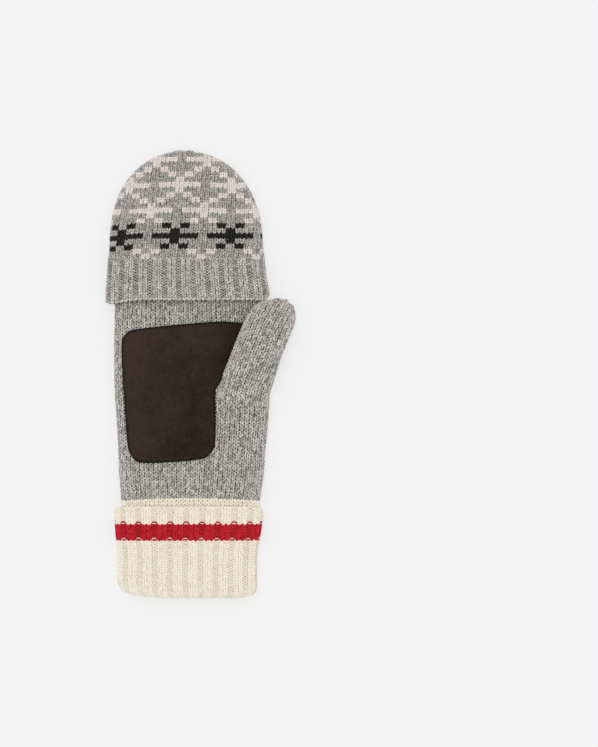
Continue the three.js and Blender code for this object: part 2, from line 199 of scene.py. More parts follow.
def spaced(rows, places, square=SQUARE):
    """Points x, z at the given lengths round each section, one row of lengths a section."""
    x, z = np.empty_like(places), np.empty_like(places)
    for i, section in enumerate(rows):
        edge_x, edge_z, length = outline(section, square)
        at = places[i] % length[-1]
        x[i] = np.interp(at, length, edge_x)
        z[i] = np.interp(at, length, edge_z)
    return x, z


def girth(rows, square=SQUARE):
    """The length all the way round each section."""
    return np.array([outline(section, square)[2][-1] for section in rows])


def length_at(section, x, square=SQUARE):
    """The length round a section from its left edge to the given x of its palm side."""
    edge_x, _, length = outline(section, square)
    half = len(edge_x) // 2 + 1
    return np.interp(x, edge_x[:half], length[:half])


def rounds(rows, columns, start=0.0, square=SQUARE):
    """Lengths to each place of a cloth with the same number of columns all the way up."""
    shares = start + np.arange(columns * PLACES) / (columns * PLACES)
    return girth(rows, square)[:, None] * shares


def unit(vectors):
    return vectors / np.maximum(np.linalg.norm(vectors, axis=-1, keepdims=True), 1e-9)


def cloth(points):
    """A cloth's places and the way each faces: one row of places per knitted row, and PLACES per stitch."""
    across = np.roll(points, -1, 1) - np.roll(points, 1, 1)
    along = np.gradient(points, axis=0)
    return np.concatenate([points, unit(np.cross(across, along))], -1)


def on_cloth(grid, column, row):
    """Places and facings at any column and row, whole or part."""
    count = grid.shape[1]
    column, row = column * PLACES, np.clip(row, 0, grid.shape[0] - 1.001)
    left, low = np.floor(column).astype(int), np.floor(row).astype(int)
    across, along = (column - left)[..., None], (row - low)[..., None]
    lower = grid[low, left % count] * (1 - across) + grid[low, (left + 1) % count] * across
    upper = grid[low + 1, left % count] * (1 - across) + grid[low + 1, (left + 1) % count] * across
    found = lower * (1 - along) + upper * along
    return found[..., :3], unit(found[..., 3:])


def side_share(x, start, end):
    """A straight step, from 0 at the start to 1 at the end."""
    return np.clip((x - start) / (end - start), 0, 1)


BOW_FROM_Y, BOW_TO_Y = -89, -62
BOW_MIDDLE_X, BOW_HALF = -6.5, 46
BOW_RISE, BOW_DROP = 1.9, 0.45
JOIN_FROM_Y = -87
FOLD_REACH = 9
LEFT_RISE, LEFT_CORNER_RISE, RIGHT_CORNER_RISE = 2.2, 3.8, 3
LEFT_RISE_X, RIGHT_RISE_X = (-20, -52), (10, 36)
EDGE_REACH = 10
EDGE_FALL = 2.2
LEFT_FALL_X, RIGHT_FALL_X = (-40, -54), (27, 39)


def wrist_bow(x, y):
    """The wrist's last round bows up towards the middle of the palm."""
    near = ease(BOW_FROM_Y, WRIST_Y, y) * ease(BOW_TO_Y, WRIST_Y, y)
    return near * (BOW_RISE * np.clip(1 - ((x - BOW_MIDDLE_X) / BOW_HALF) ** 2, 0, 1) - BOW_DROP)


def cuff_cloth(y, depth, start):
    """The cuff's cloth at each y and depth. The fold rises towards its sides, and the free edge falls there."""
    y, depth = np.broadcast_arrays(np.asarray(y, float), depth)
    inside = ease(1, 2, depth)[:, None]
    joins_hand = ease(JOIN_FROM_Y, WRIST_Y, y)[:, None] * inside
    rows = sections(CUFF, y, depth) * (1 - joins_hand) + WRIST_SECTION * joins_hand
    x, z = spaced(rows, rounds(rows, CUFF_COLUMNS, start))
    low = ease(FOLD_MIDDLE_Y + FOLD_REACH, FOLD_MIDDLE_Y - FOLD_RADIUS, y)[:, None]
    left_share, right_share = side_share(x, *LEFT_RISE_X), side_share(x, *RIGHT_RISE_X)
    rise = LEFT_RISE * left_share + LEFT_CORNER_RISE * left_share**5 + RIGHT_CORNER_RISE * right_share**4
    high = (ease(CUFF_TOP_Y - EDGE_REACH, CUFF_TOP_Y, y) * ease(1.5, 0.5, depth))[:, None]
    fall = EDGE_FALL * (side_share(x, *LEFT_FALL_X) ** 3 + side_share(x, *RIGHT_FALL_X) ** 3)
    y = y[:, None]
    return cloth(np.stack([x, y + low * rise - high * fall + inside * wrist_bow(x, y), z], -1))


def cuff_path(below_edge):
    """y and depth of the cloth at a distance from its free edge: down outside, round the fold, up inside."""
    outside = CUFF_TOP_Y - FOLD_MIDDLE_Y
    angle = np.clip((below_edge - outside) / FOLD_RADIUS, 0, math.pi)
    inside = np.maximum(0, below_edge - outside - FOLD_RADIUS * math.pi)
    y = CUFF_TOP_Y - np.minimum(below_edge, outside) - FOLD_RADIUS * np.sin(angle) + inside
    return y, FOLD_RADIUS * (1 - np.cos(angle))


STRIPE_Y = -100.0
PURL_X = -9.0
PURL_COLUMN = 32
stripe_section = sections(CUFF, [STRIPE_Y])[0]
stripe_girth = outline(stripe_section)[2][-1]
cuff_start = length_at(stripe_section, PURL_X) / stripe_girth - PURL_COLUMN / CUFF_COLUMNS
rounds_below = np.arange(CUFF_ROWS, -1, -1)
turned_up = cuff_cloth(*cuff_path(CUFF_ROW * rounds_below + CAST_OFF * (rounds_below > 0)), cuff_start)

# Yarn lies with its middle YARN_LIE under the cloth's face. LEG is one leg of a knit stitch, from its foot to
# its head, BUMP one bump of a purl stitch, from side to side, and EDGE one slanting stitch of a finished edge:
# across in columns, along in rows, lift in mm, and thick as a share of the yarn's thickness.
YARN_LIE = -0.5
random = np.random.default_rng(seed=11)
LEG = {
    "across": np.array([0.03, 0.1, 0.19, 0.27, 0.34, 0.37]),
    "along": np.array([-0.42, -0.12, 0.22, 0.56, 0.9, 1.16]),
    "lift": np.array([-0.75, -0.12, 0.12, 0.14, -0.1, -0.75]),
    "thick": np.array([0, 0.82, 1, 1, 0.85, 0]),
}
BUMP = {
    "across": np.array([-0.72, -0.48, -0.18, 0.18, 0.48, 0.72]),
    "along": np.array([-0.9, -0.4, 0.12, 0.12, -0.4, -0.9]),
    "lift": np.array([-0.25, 0.38, 0.48, 0.48, 0.38, -0.25]),
    "thick": np.array([0, 0.44, 0.5, 0.5, 0.44, 0]),
}
EDGE = {
    "across": np.array([-0.5, -0.38, -0.12, 0.16, 0.4, 0.5]),
    "along": np.array([0.5, 0.16, 0.1, 0.3, 0.62, 0.9]),
    "lift": np.array([-0.7, 0.05, 0.4, 0.4, 0.1, -0.7]),
    "thick": np.array([0, 0.85, 1, 1, 0.85, 0]),
}
HANGING_AT, ARCHED_AT = 0.22, 0.68
UNEVEN_ACROSS, UNEVEN_ALONG = 0.035, 0.06
CUFF_RIB_DEPTH = 0.05
FURROW_PAINTED_SHADE = 0.2


def every_stitch(columns, rows):
    """The column and row of each stitch of a cloth."""
    return [places.ravel().astype(float) for places in np.meshgrid(columns, rows)]


def rib_dip(column, depth):
    """How far the cloth sinks between the ribs, where every third column is a purl column."""
    return depth * (0.5 + 0.5 * np.cos(2 * np.pi * (column - 2) / 3)) ** 1.5


def strands(grid, column, row, part, thickness, rib_depth, turned=1):
    """Middle lines, facings and thicknesses of like lengths of yarn, one at each column and row."""
    u = (column + UNEVEN_ACROSS * random.standard_normal(len(column)))[:, None] + part["across"]
    v = (row + UNEVEN_ALONG * random.standard_normal(len(row)))[:, None] + turned * part["along"]
    spot, facing = on_cloth(grid, u, v)
    middle = spot + facing * (YARN_LIE + part["lift"] - rib_dip(u, rib_depth))[..., None]
    return middle, facing, thickness * np.broadcast_to(part["thick"], u.shape)


def knit(grid, column, row, thickness, rib_depth=0.0):
    """Both legs of each knit stitch."""
    mirrored = {**LEG, "across": -LEG["across"]}
    legs = [strands(grid, column, row, part, thickness, rib_depth) for part in (LEG, mirrored)]
    return joined(*legs)


def purl(grid, column, row, thickness, rib_depth):
    """The lower bump of each purl stitch, which hangs, and the upper one, which is arched."""
    hanging = strands(grid, column, row + HANGING_AT, BUMP, thickness, rib_depth, -1)
    arched = strands(grid, column, row + ARCHED_AT, BUMP, thickness, rib_depth)
    return hanging, arched


def rib_yarn(grid, last_row, columns, thickness, rib_depth, purl_thicker):
    """All the yarn of a K2P1 cloth, the knitted row of each length, and which lengths are raised knit legs."""
    column, row = every_stitch(range(columns), range(last_row))
    is_purl = column % 3 == 2
    legs = knit(grid, column[~is_purl], row[~is_purl], thickness, rib_depth)
    hanging, arched = purl(grid, column[is_purl], row[is_purl], purl_thicker * thickness, rib_depth)
    lengths = joined(legs, hanging, arched)
    belongs = np.concatenate([np.tile(row[~is_purl], 2), row[is_purl], row[is_purl] - 1])
    raised = np.arange(len(belongs)) < 2 * np.sum(~is_purl)
    return lengths, belongs, raised


def rib_shades_with_painted_furrows(raised):
    """A shade for each length, at random, and a little darker in the furrows, which is painted shade."""
    return (1 - FURROW_PAINTED_SHADE) * random.random(len(raised)) + FURROW_PAINTED_SHADE * raised


def finished_edge(grid, columns, row, thickness, turned=1):
    """A row of slanting stitches along an edge, one at each column."""
    column = np.arange(columns, dtype=float)
    return strands(grid, column, np.full(columns, float(row)), EDGE, thickness, 0.0, turned)


def joined(*groups):
    """Groups of lengths of yarn as one."""
    return [np.concatenate(parts) for parts in zip(*groups)]


def strand_pattern(stations, sides):
    """Triangles of one closed strand, and where their corners lie along it and round it."""
    rings = stations - 2
    last = 1 + rings * sides
    faces, places = [], []
    for k in range(sides):
        corner = [[1 + i * sides + (k + step) % sides for step in (0, 1)] for i in range(rings)]
        faces.append((0, corner[0][0], corner[0][1]))
        places.append(((0, k + 0.5), (1, k), (1, k + 1)))
        for i in range(rings - 1):
            faces.append((corner[i][0], corner[i + 1][0], corner[i + 1][1]))
            places.append(((i + 1, k), (i + 2, k), (i + 2, k + 1)))
            faces.append((corner[i][0], corner[i + 1][1], corner[i][1]))
            places.append(((i + 1, k), (i + 2, k + 1), (i + 1, k + 1)))
        faces.append((last, corner[-1][1], corner[-1][0]))
        places.append(((stations - 1, k + 0.5), (stations - 2, k + 1), (stations - 2, k)))
    return np.array(faces), np.array(places) / (stations - 1, sides)


YARN_FLAT = 0.85
YARN_OVER_FLOOR, CLOTH_OVER_FLOOR = 0.03, 0.05
CELL_MARGIN = 0.06


def add_yarn(name, lengths, material, slot, *nodes, shades=None, sides=4):
    """Lengths of yarn as one piece. Each has a shade of its own, and a cell of its own for baking."""
    if shades is None:
        shades = random.random(len(lengths[0]))
    middle, facing, thick = lengths
    count, stations = middle.shape[:2]
    run = unit(np.gradient(middle, axis=1))
    side = unit(np.cross(run, facing))
    up = YARN_FLAT * np.cross(side, run)
    angle = np.arange(sides)[:, None] * 2 * np.pi / sides - np.pi / 2
    inner = slice(1, -1)
    spokes = side[:, inner, None] * np.cos(angle) + up[:, inner, None] * np.sin(angle)
    rings = middle[:, inner, None] + thick[:, inner, None, None] * spokes
    points = np.concatenate([middle[:, :1], rings.reshape(count, -1, 3), middle[:, -1:]], 1)
    points[..., 2] = np.maximum(points[..., 2], YARN_OVER_FLOOR)
    faces, places = strand_pattern(stations, sides)
    all_faces = faces + points.shape[1] * np.arange(count)[:, None, None]
    piece = add_mesh(name, points.reshape(-1, 3), all_faces.reshape(-1, 3), material)
    shade = piece.data.attributes.new("shade", "FLOAT", "POINT")
    shade.data.foreach_set("value", np.repeat(shades, points.shape[1]).astype(np.float32))
    wide = math.ceil(math.sqrt(count))
    cell = np.stack([np.arange(count) % wide, np.arange(count) // wide], 1)[:, None, None]
    bake = (cell + CELL_MARGIN + (1 - 2 * CELL_MARGIN) * places) / wide
    piece.data.uv_layers.new(name="OFBake").data.foreach_set("uv", bake.astype(np.float32).ravel())
    twist = places + cell * (3, 7)
    piece.data.uv_layers.new(name="twist").data.foreach_set("uv", twist.astype(np.float32).ravel())
    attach(piece, "root")
    if nodes:
        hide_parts(*nodes)


LOOSE_FIBRE = 0.035
FIBRE_SHORTEST, FIBRE_LONGEST = 0.8, 1.9
FIBRE_ROOT, FIBRE_LEAN, FIBRE_BEND = 0.4, 1.1, 0.35
ON_FLAT = 0.25


def loose_fibres(grid, count, bare=None):
    """Fine fibres that stand a little off a cloth, most of them round its sides, and none on bare places."""
    tries = 4 * count
    column, row = grid.shape[1] / PLACES * random.random(tries), (grid.shape[0] - 1) * random.random(tries)
    spot, facing = on_cloth(grid, column, row)
    wanted = random.random(tries) < ON_FLAT + (1 - ON_FLAT) * (1 - np.abs(facing[:, 2]))
    if bare is not None:
        wanted &= ~bare(spot, facing)
    kept = np.flatnonzero(wanted)[:count]
    spot, facing = spot[kept, None], facing[kept, None]
    lean, bend = unit(random.standard_normal((2, len(kept), 3)))[:, :, None]
    way = unit(facing + FIBRE_LEAN * lean)
    share = np.linspace(0, 1, 4)[:, None]
    length = random.uniform(FIBRE_SHORTEST, FIBRE_LONGEST, (len(kept), 1, 1))
    middle = spot - FIBRE_ROOT * facing + length * (way * share + FIBRE_BEND * bend * share**2)
    thick = np.broadcast_to(LOOSE_FIBRE * np.array([0, 1, 0.8, 0]), middle.shape[:2])
    return middle, np.broadcast_to(facing, middle.shape), thick


def add_backing(name, grid, material, inner, outer=0.95, rib_depth=0.0):
    """The inside of a cloth, seen between its yarns: a closed wall between two depths under its face."""
    sink = rib_dip(np.arange(grid.shape[1]) / PLACES, rib_depth)
    spots, facing = grid[..., :3], grid[..., 3:]
    front = spots - facing * (outer + sink)[None, :, None]
    back = spots - facing * inner
    points = np.concatenate([front, back[::-1]])
    points[..., 2] = np.maximum(points[..., 2], CLOTH_OVER_FLOOR)
    here = np.arange(points.shape[0] * points.shape[1]).reshape(points.shape[:2])
    above = np.roll(here, -1, 0)
    quads = np.stack([here, np.roll(here, -1, 1), np.roll(above, -1, 1), above], -1)
    piece = add_mesh(name, points.reshape(-1, 3), quads.reshape(-1, 4), material)
    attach(piece, "root")


def colour(red, green, blue):
    """A colour given as 0 to 255, as the light it stands for."""
    share = np.array([red, green, blue]) / 255
    light = np.where(share <= 0.04045, share / 12.92, ((share + 0.055) / 1.055) ** 2.4)
    return (*light.tolist(), 1)


def add_node(tree, kind, inputs=(), **settings):
    """A shader node. An input is a value or the socket that feeds it."""
    node = tree.nodes.new(kind)
    for name, value in settings.items():
        setattr(node, name, value)
    for name, value in dict(inputs).items():
        if isinstance(value, bpy.types.NodeSocket):
            tree.links.new(value, node.inputs[name])
        else:
            node.inputs[name].default_value = value
    return node


def noise(tree, place, scale, detail=1.0, roughness=0.5):
    inputs = {"Vector": place, "Scale": scale, "Detail": detail, "Roughness": roughness}
    return add_node(tree, "ShaderNodeTexNoise", inputs).outputs["Fac"]


def times_plus(tree, value, times, plus):
    inputs = {0: value, 1: times, 2: plus}
    return add_node(tree, "ShaderNodeMath", inputs, operation="MULTIPLY_ADD").outputs["Value"]


def mixed_colour(tree, share, first, second):
    inputs = {"Factor": share, 6: first, 7: second}
    return add_node(tree, "ShaderNodeMix", inputs, data_type="RGBA").outputs[2]


def fibre_group():
    """How spun yarn varies: each length's shade, the streaks of fibre along it, the relief of its two plies."""
    tree = bpy.data.node_groups.new("spun fibres", "ShaderNodeTree")
    tree.interface.new_socket("Relief", in_out="INPUT", socket_type="NodeSocketFloat")
    for name, kind in (("Shade", "Float"), ("Streaks", "Float"), ("Normal", "Vector")):
        tree.interface.new_socket(name, in_out="OUTPUT", socket_type=f"NodeSocket{kind}")
    given = tree.nodes.new("NodeGroupInput")
    result = tree.nodes.new("NodeGroupOutput")
    shade = add_node(tree, "ShaderNodeAttribute", attribute_name="shade").outputs["Fac"]
    place = add_node(tree, "ShaderNodeUVMap", uv_map="twist").outputs["UV"]
    slant = {"Vector": place, "Rotation": (0, 0, 0.5), "Scale": (1.5, 9, 1)}
    slanted = add_node(tree, "ShaderNodeMapping", slant).outputs["Vector"]
    streaks = noise(tree, slanted, 1.0, 3.0, 0.6)
    bands = {"Vector": slanted, "Scale": 0.32, "Distortion": 1.5, "Detail": 1.0}
    plies = add_node(tree, "ShaderNodeTexWave", bands, bands_direction="Y").outputs["Fac"]
    height = add_node(tree, "ShaderNodeMath", {0: plies, 1: streaks}, operation="ADD").outputs["Value"]
    relief = {"Height": height, "Strength": given.outputs["Relief"], "Distance": 0.0002}
    normal = add_node(tree, "ShaderNodeBump", relief).outputs["Normal"]
    for name, socket in (("Shade", shade), ("Streaks", streaks), ("Normal", normal)):
        tree.links.new(socket, result.inputs[name])
    return tree


spun_fibres = fibre_group()
STREAK_PART, SHADE_PART, DARKER = 0.9, 0.5, -0.2


def plain_yarn(name, dark, light, roughness=0.9):
    """Yarn of one colour: each length somewhere between a darker and a lighter one."""
    material, tree, shader = new_material(name, roughness, 0.2)
    fibres = add_node(tree, "ShaderNodeGroup", {"Relief": 0.5}, node_tree=spun_fibres)
    share = times_plus(tree, fibres.outputs["Streaks"], STREAK_PART, DARKER)
    share = times_plus(tree, fibres.outputs["Shade"], SHADE_PART, share)
    tree.links.new(mixed_colour(tree, share, dark, light), shader.inputs["Base Color"])
    tree.links.new(fibres.outputs["Normal"], shader.inputs["Normal"])
    return material


def painted_shade_backing(name, tint):
    """The inside of the cloth, where little light reaches, in one flat colour that is painted shade."""
    material, _, shader = new_material(name, 0.95, 0.1)
    shader.inputs["Base Color"].default_value = tint
    return material


cream_yarn = plain_yarn("cream yarn", colour(244, 229, 205), colour(255, 251, 242))
# The backings' colours are painted shade between the stitches: a warm tan behind the cream yarn, a deep red
# behind the red.
cream_shade_backing = painted_shade_backing("cream backing painted shade", colour(248, 228, 196))
red_yarn = plain_yarn("red yarn", colour(156, 14, 27), colour(229, 45, 62))
red_shade_backing = painted_shade_backing("red backing painted shade", colour(104, 8, 16))

CUFF_YARN = 0.92
EDGE_YARN = 0.8
EDGE_PAINTED_HIGHLIGHT = 0.5
PURL_THICKER = 1.13
STRIPE_FIRST = CUFF_ROWS - 12
STRIPE_LAST = CUFF_ROWS - 7
RED_PROUD, RED_THICKER = 0.15, 1.07
cuff_lengths, belongs, raised = rib_yarn(
    turned_up, CUFF_ROWS, CUFF_COLUMNS, CUFF_YARN, CUFF_RIB_DEPTH, PURL_THICKER
)
# Lengths in the purl furrows are drawn a little darker: painted shade.
shades = rib_shades_with_painted_furrows(raised)
in_stripe = (belongs >= STRIPE_FIRST) & (belongs <= STRIPE_LAST)
edge = finished_edge(turned_up, CUFF_COLUMNS, CUFF_ROWS, EDGE_YARN * CUFF_YARN, -1)
cream_lengths = joined([part[~in_stripe] for part in cuff_lengths], edge)
# The stitches of the cuff's free edge are drawn paler: a painted highlight on the edge's crest.
highlit_edge_shades = EDGE_PAINTED_HIGHLIGHT + (1 - EDGE_PAINTED_HIGHLIGHT) * random.random(CUFF_COLUMNS)
cream_shades = np.concatenate([shades[~in_stripe], highlit_edge_shades])
add_yarn("cuff_yarn", cream_lengths, cream_yarn, "cream_knit", "cuff", "cuff_edge", shades=cream_shades)
middle, facing, thick = [part[in_stripe] for part in cuff_lengths]
is_bump = ~raised[in_stripe]
middle = middle + RED_PROUD * is_bump[:, None, None] * facing
red_lengths = [middle, facing, thick * np.where(is_bump, RED_THICKER, 1)[:, None]]
add_yarn("cuff_stripe_yarn", red_lengths, red_yarn, "red_knit", "cuff_stripe", shades=shades[in_stripe])
# These backings carry painted shade, seen between the stitches.
add_backing(
    "cuff_backing", turned_up[::2], cream_shade_backing,
    inner=2.4, outer=0.42, rib_depth=CUFF_RIB_DEPTH,
)
stripe_cloth = turned_up[STRIPE_FIRST : STRIPE_LAST + 2]
add_backing(
    "cuff_stripe_backing", stripe_cloth, red_shade_backing,
    inner=2.2, outer=0.34, rib_depth=CUFF_RIB_DEPTH,
)


# The last cream rounds at the wrist are plain stockinette in the same wool, in line with the hand's columns.
# The hand is knitted on to them, and they go in under the cuff's turned-up edge.
STRIP_ROWS = 4
HAND_COLUMNS = 66
HAND_ROW = 2.093
WRIST_YARN = 0.8


def hand_tube(levels, rows):
    """A cloth in the hand's columns over the section at each level, with its rounds bowed near the wrist."""
    x, z = spaced(rows, rounds(rows, HAND_COLUMNS))
    return cloth(np.stack([x, levels[:, None] + wrist_bow(x, levels[:, None]), z], -1))


strip_levels = WRIST_Y + HAND_ROW * np.arange(-STRIP_ROWS, 2)
wrist_strip = hand_tube(strip_levels, np.repeat(WRIST_SECTION[None], len(strip_levels), 0))
column, row = every_stitch(range(HAND_COLUMNS), range(STRIP_ROWS))
add_yarn("cuff_wrist_yarn", knit(wrist_strip, column, row, WRIST_YARN), cream_yarn, "cream_knit")


# Fine loose fibres of cream wool stand on the turned-up layer, but not on the fold or the stripe. Behind it
# lies the cuff's inner layer, drawn only as the inside of its cloth, because no more of it is ever seen.
FUZZ_FIRST = 10
INNER_FOLD_Y = -136
INNER_LEVELS = 20
INNER_DEPTH = 3.2
loose_cream = plain_yarn("loose cream fibre", colour(250, 240, 222), colour(255, 253, 248))
below_stripe = loose_fibres(turned_up[FUZZ_FIRST:STRIPE_FIRST], count=1700)
above_stripe = loose_fibres(turned_up[STRIPE_LAST + 2 :], count=500)
add_yarn("cuff_fuzz", joined(below_stripe, above_stripe), loose_cream, "cream_knit", sides=3)
inner_cloth = cuff_cloth(np.linspace(INNER_FOLD_Y, WRIST_Y, INNER_LEVELS), INNER_DEPTH, cuff_start)
add_backing("cuff_inner_backing", inner_cloth, cream_shade_backing, inner=2.6, rib_depth=CUFF_RIB_DEPTH)


# The hand is a tube of heathered grey wool in stockinette, knitted on from the wrist and wider at the palm. Its
# palm dips where the thumb lies on it, and its open finger edge ends under the cap.
# Rows of HAND: y, left, right, under, over, beside the thumb.
HAND = np.array([
    (WRIST_Y, *WRIST_SECTION),
    (-71, -50.9, 38.8, 1.8, 13.6, 13.4),
    (-61, -51.8, 40.2, 0.3, 12.7, 12.4),
    (-51, -52.1, 40.8, 0, 12.3, 12.0),
    (-36, -52.8, 42.3, 0, 12.2, 12.0),
    (-19, -53.9, 43.5, 0, 12.2, 11.9),
    (-8, -54.6, 43.4, 0, 12.2, 10.2),
    (5, -54.8, 42.6, 0, 12.2, 8.6),
    (20, -54.8, 41.6, 0, 12.2, 8.4),
    (34, -54.5, 40.6, 0.9, 12.4, 9.2),
    (44, -54.4, 39.7, 2.6, 11.9, 10.8),
    (52, -54.6, 39.0, 3.2, 11.4, 11.2),
    (71.5, -54.4, 37.2, 3.2, 12.2, 12.0),
])
HAND_ROWS = 72
HAND_YARN = 0.68

# The grey yarn is spun from pale, mid grey and black fibre with a little beige, mixed unevenly. Its shade is
# the mean one, and more or less by each of four parts, which count by their weights.
MEAN_SHADE = 0.567
SHADE_WEIGHT, STREAK_WEIGHT, MIX_WEIGHT, PATCHES_WEIGHT = 0.3, 1.1, 1.6, 0.14
grey_yarn, tree, shader = new_material("grey yarn", 0.95, 0.15)
fibres = add_node(tree, "ShaderNodeGroup", {"Relief": 0.6}, node_tree=spun_fibres)
place = add_node(tree, "ShaderNodeTexCoord").outputs["Object"]
share = MEAN_SHADE
for part, weight in (
    (fibres.outputs["Shade"], SHADE_WEIGHT),
    (fibres.outputs["Streaks"], STREAK_WEIGHT),
    (noise(tree, place, 1250.0, 3.0, 0.7), MIX_WEIGHT),
    (noise(tree, place, 170.0), PATCHES_WEIGHT),
):
    more = add_node(tree, "ShaderNodeMath", {0: part, 1: 0.5}, operation="SUBTRACT").outputs["Value"]
    share = times_plus(tree, more, weight, share)
ramp = add_node(tree, "ShaderNodeValToRGB", {"Fac": share})
tones = ramp.color_ramp.elements
tones[0].position, tones[0].color = 0.08, colour(58, 56, 55)
tones[1].position, tones[1].color = 0.95, colour(250, 246, 238)
for position, tint in ((0.32, (138, 135, 132)), (0.52, (186, 182, 176)), (0.72, (220, 216, 208))):
    tones.new(position).color = colour(*tint)
specks = {"Value": noise(tree, place, 420.0), "From Min": 0.62, "From Max": 0.7, "To Max": 0.4}
beige_share = add_node(tree, "ShaderNodeMapRange", specks).outputs["Result"]
heather = mixed_colour(tree, beige_share, ramp.outputs["Color"], colour(198, 180, 156))
tree.links.new(heather, shader.inputs["Base Color"])
tree.links.new(fibres.outputs["Normal"], shader.inputs["Normal"])
# The grey backing is near black: painted shade seen between the stitches.
grey_shade_backing = painted_shade_backing("grey backing painted shade", colour(50, 48, 46))

# The patch covers the palm inside these four edges, each given from one of its corners to the next.
PATCH_LEFT = np.array([(-42.2, -53.4), (-45.9, -45.7), (-48.5, -12.7), (-49.9, 20.2), (-46.8, 26.6)])
PATCH_RIGHT = np.array([
    (5.0, -51.4), (9.2, -44.0), (9.5, -12.4), (9.9, -9.2), (12.4, -5.0),
    (15.0, 0.8), (21.8, 16.5), (27.2, 30.0), (27.0, 33.0),
])
PATCH_LOW = np.array([(-42.2, -53.4), (-37.5, -55.6), (-20.0, -55.4), (0.5, -53.3), (5.0, -51.4)])
PATCH_HIGH = np.array([(-46.8, 26.6), (-42.2, 28.7), (-8.0, 32.4), (14.0, 33.8), (27.0, 33.0)])
# Rows of THUMB: y of the middle line, then its x, width, turn from +y in degrees, height, thickness and roll.
THUMB = np.array([
    (-18.4, 26.1, 34.4, 0, 8.1, 8.2, 0),
    (-9.5, 27.8, 32.7, 12, 9.7, 9.6, 2),
    (5.2, 33.2, 31.2, 21, 13.2, 11.0, 6),
    (14, 36.2, 30.5, 22, 14.9, 11.0, 8),
    (22.3, 39.5, 30.4, 22, 15.2, 11.0, 9),
    (29.5, 42.4, 30.4, 22, 14.5, 10.8, 10),
    (35.2, 45.2, 29.4, 22, 13.4, 10.4, 10),
    (40.4, 48.1, 26.6, 21, 12.1, 9.8, 10),
    (44.6, 50.4, 19.8, 18, 11.0, 8.2, 10),
    (46.4, 52.0, 13.6, 12, 10.4, 5.6, 10),
    (47.5, 51.2, 8.4, 4, 10.0, 0.5, 10),
])
THUMB_X, THUMB_WIDTH, THUMB_TURN, THUMB_HEIGHT, THUMB_THICK, THUMB_ROLL = range(1, 7)


def reach_inside(corners, places):
    """How far each place lies inside a closed outline. Outside, it is less than nothing."""
    start, end = corners, np.roll(corners, -1, 0)
    from_start = places[:, None] - start
    along = end - start
    share = np.clip((from_start * along).sum(-1) / np.maximum((along**2).sum(-1), 1e-9), 0, 1)
    distance = np.linalg.norm(from_start - share[..., None] * along, axis=-1).min(1)
    above = start[:, 1] > places[:, None, 1]
    crosses = above != (end[:, 1] > places[:, None, 1])
    rise = np.where(along[:, 1] == 0, 1, along[:, 1])
    meets = start[:, 0] + (places[:, None, 1] - start[:, 1]) * along[:, 0] / rise
    inside = (crosses & (places[:, None, 0] < meets)).sum(1) % 2 == 1
    return np.where(inside, distance, -distance)


hand_levels = WRIST_Y + HAND_ROW * np.arange(-1, HAND_ROWS + 1)
hand_cloth = hand_tube(hand_levels, sections(HAND, hand_levels))
patch_corners = np.concatenate([PATCH_LOW[:-1], PATCH_RIGHT[:-1], PATCH_HIGH[::-1][:-1], PATCH_LEFT[::-1][:-1]])
THUMB_FOOT = 2.2
turn = np.radians(THUMB[:, THUMB_TURN])
side_reach = THUMB[:, THUMB_WIDTH, None] / 2 * np.stack([np.cos(turn), -np.sin(turn)], 1)
thumb_middle = THUMB[:, [THUMB_X, 0]]
thumb_corners = np.concatenate([thumb_middle + side_reach, (thumb_middle - side_reach)[::-1]])
thumb_corners[[0, -1], 1] -= THUMB_FOOT

# Stitches that nothing shows are left out: those well under the patch or the thumb, and a band under the cap.
PALM_FACING = 0.1
DEEP_UNDER_PATCH, DEEP_UNDER_THUMB = 3, 7.5
THUMB_LEAVES_X = 33
BARE_FROM_Y, BARE_TO_Y = 55, 68
column, row = every_stitch(range(HAND_COLUMNS), range(1, HAND_ROWS + 1))
spot, facing = on_cloth(hand_cloth, column, row + 0.5)
is_palm = facing[:, 2] > PALM_FACING
under_patch = reach_inside(patch_corners, spot[:, :2]) > DEEP_UNDER_PATCH
under_thumb = (reach_inside(thumb_corners, spot[:, :2]) > DEEP_UNDER_THUMB) & (spot[:, 0] < THUMB_LEAVES_X)
under_cap = (spot[:, 1] > BARE_FROM_Y) & (spot[:, 1] < BARE_TO_Y)
hidden = is_palm & (under_patch | under_thumb) | under_cap
for name, side in (("hand_palm_yarn", is_palm), ("hand_back_yarn", ~is_palm)):
    shown = side & ~hidden
    add_yarn(name, knit(hand_cloth, column[shown], row[shown], HAND_YARN), grey_yarn, "grey_knit", "hand")
add_backing("hand_backing", hand_cloth[1::2], grey_shade_backing, inner=2.5)
CAP_COVERS_Y = 46
FUZZ_INTO_PATCH, FUZZ_INTO_THUMB = -0.5, 2


def covered(spot, facing):
    """Places of the hand that lie under the patch, the thumb or the cap, where no loose fibres stand."""
    under_patch = reach_inside(patch_corners, spot[:, :2]) > FUZZ_INTO_PATCH
    under_thumb = reach_inside(thumb_corners, spot[:, :2]) > FUZZ_INTO_THUMB
    return ((under_patch | under_thumb) & (facing[:, 2] > PALM_FACING)) | (spot[:, 1] > CAP_COVERS_Y)


loose_grey = plain_yarn("loose grey fibre", colour(176, 172, 166), colour(240, 237, 231))
hand_fibres = loose_fibres(hand_cloth, count=2400, bare=covered)
add_yarn("hand_fuzz", hand_fibres, loose_grey, "grey_knit", sides=3)


# The thumb is a narrower tube of the same grey wool, picked up from the palm along a line at its base. Its
# columns of stitches turn there and run up along the thumb, which lies on the palm and leans outwards.
THUMB_ROW = 2.09
THUMB_REACH = 12
THUMB_SHIFT = 0.59
THUMB_YARN = 0.75
THUMB_SQUARE = 3.6
BASE_SINK = 1.3
BASE_TOP_Y = 5
BASE_WIDTH, ABOVE_BASE_WIDTH = 3.08, 3.23
PALM_MIDDLE, BACK_MIDDLE = 0.25, 0.75
BACKING_COLUMNS = 20


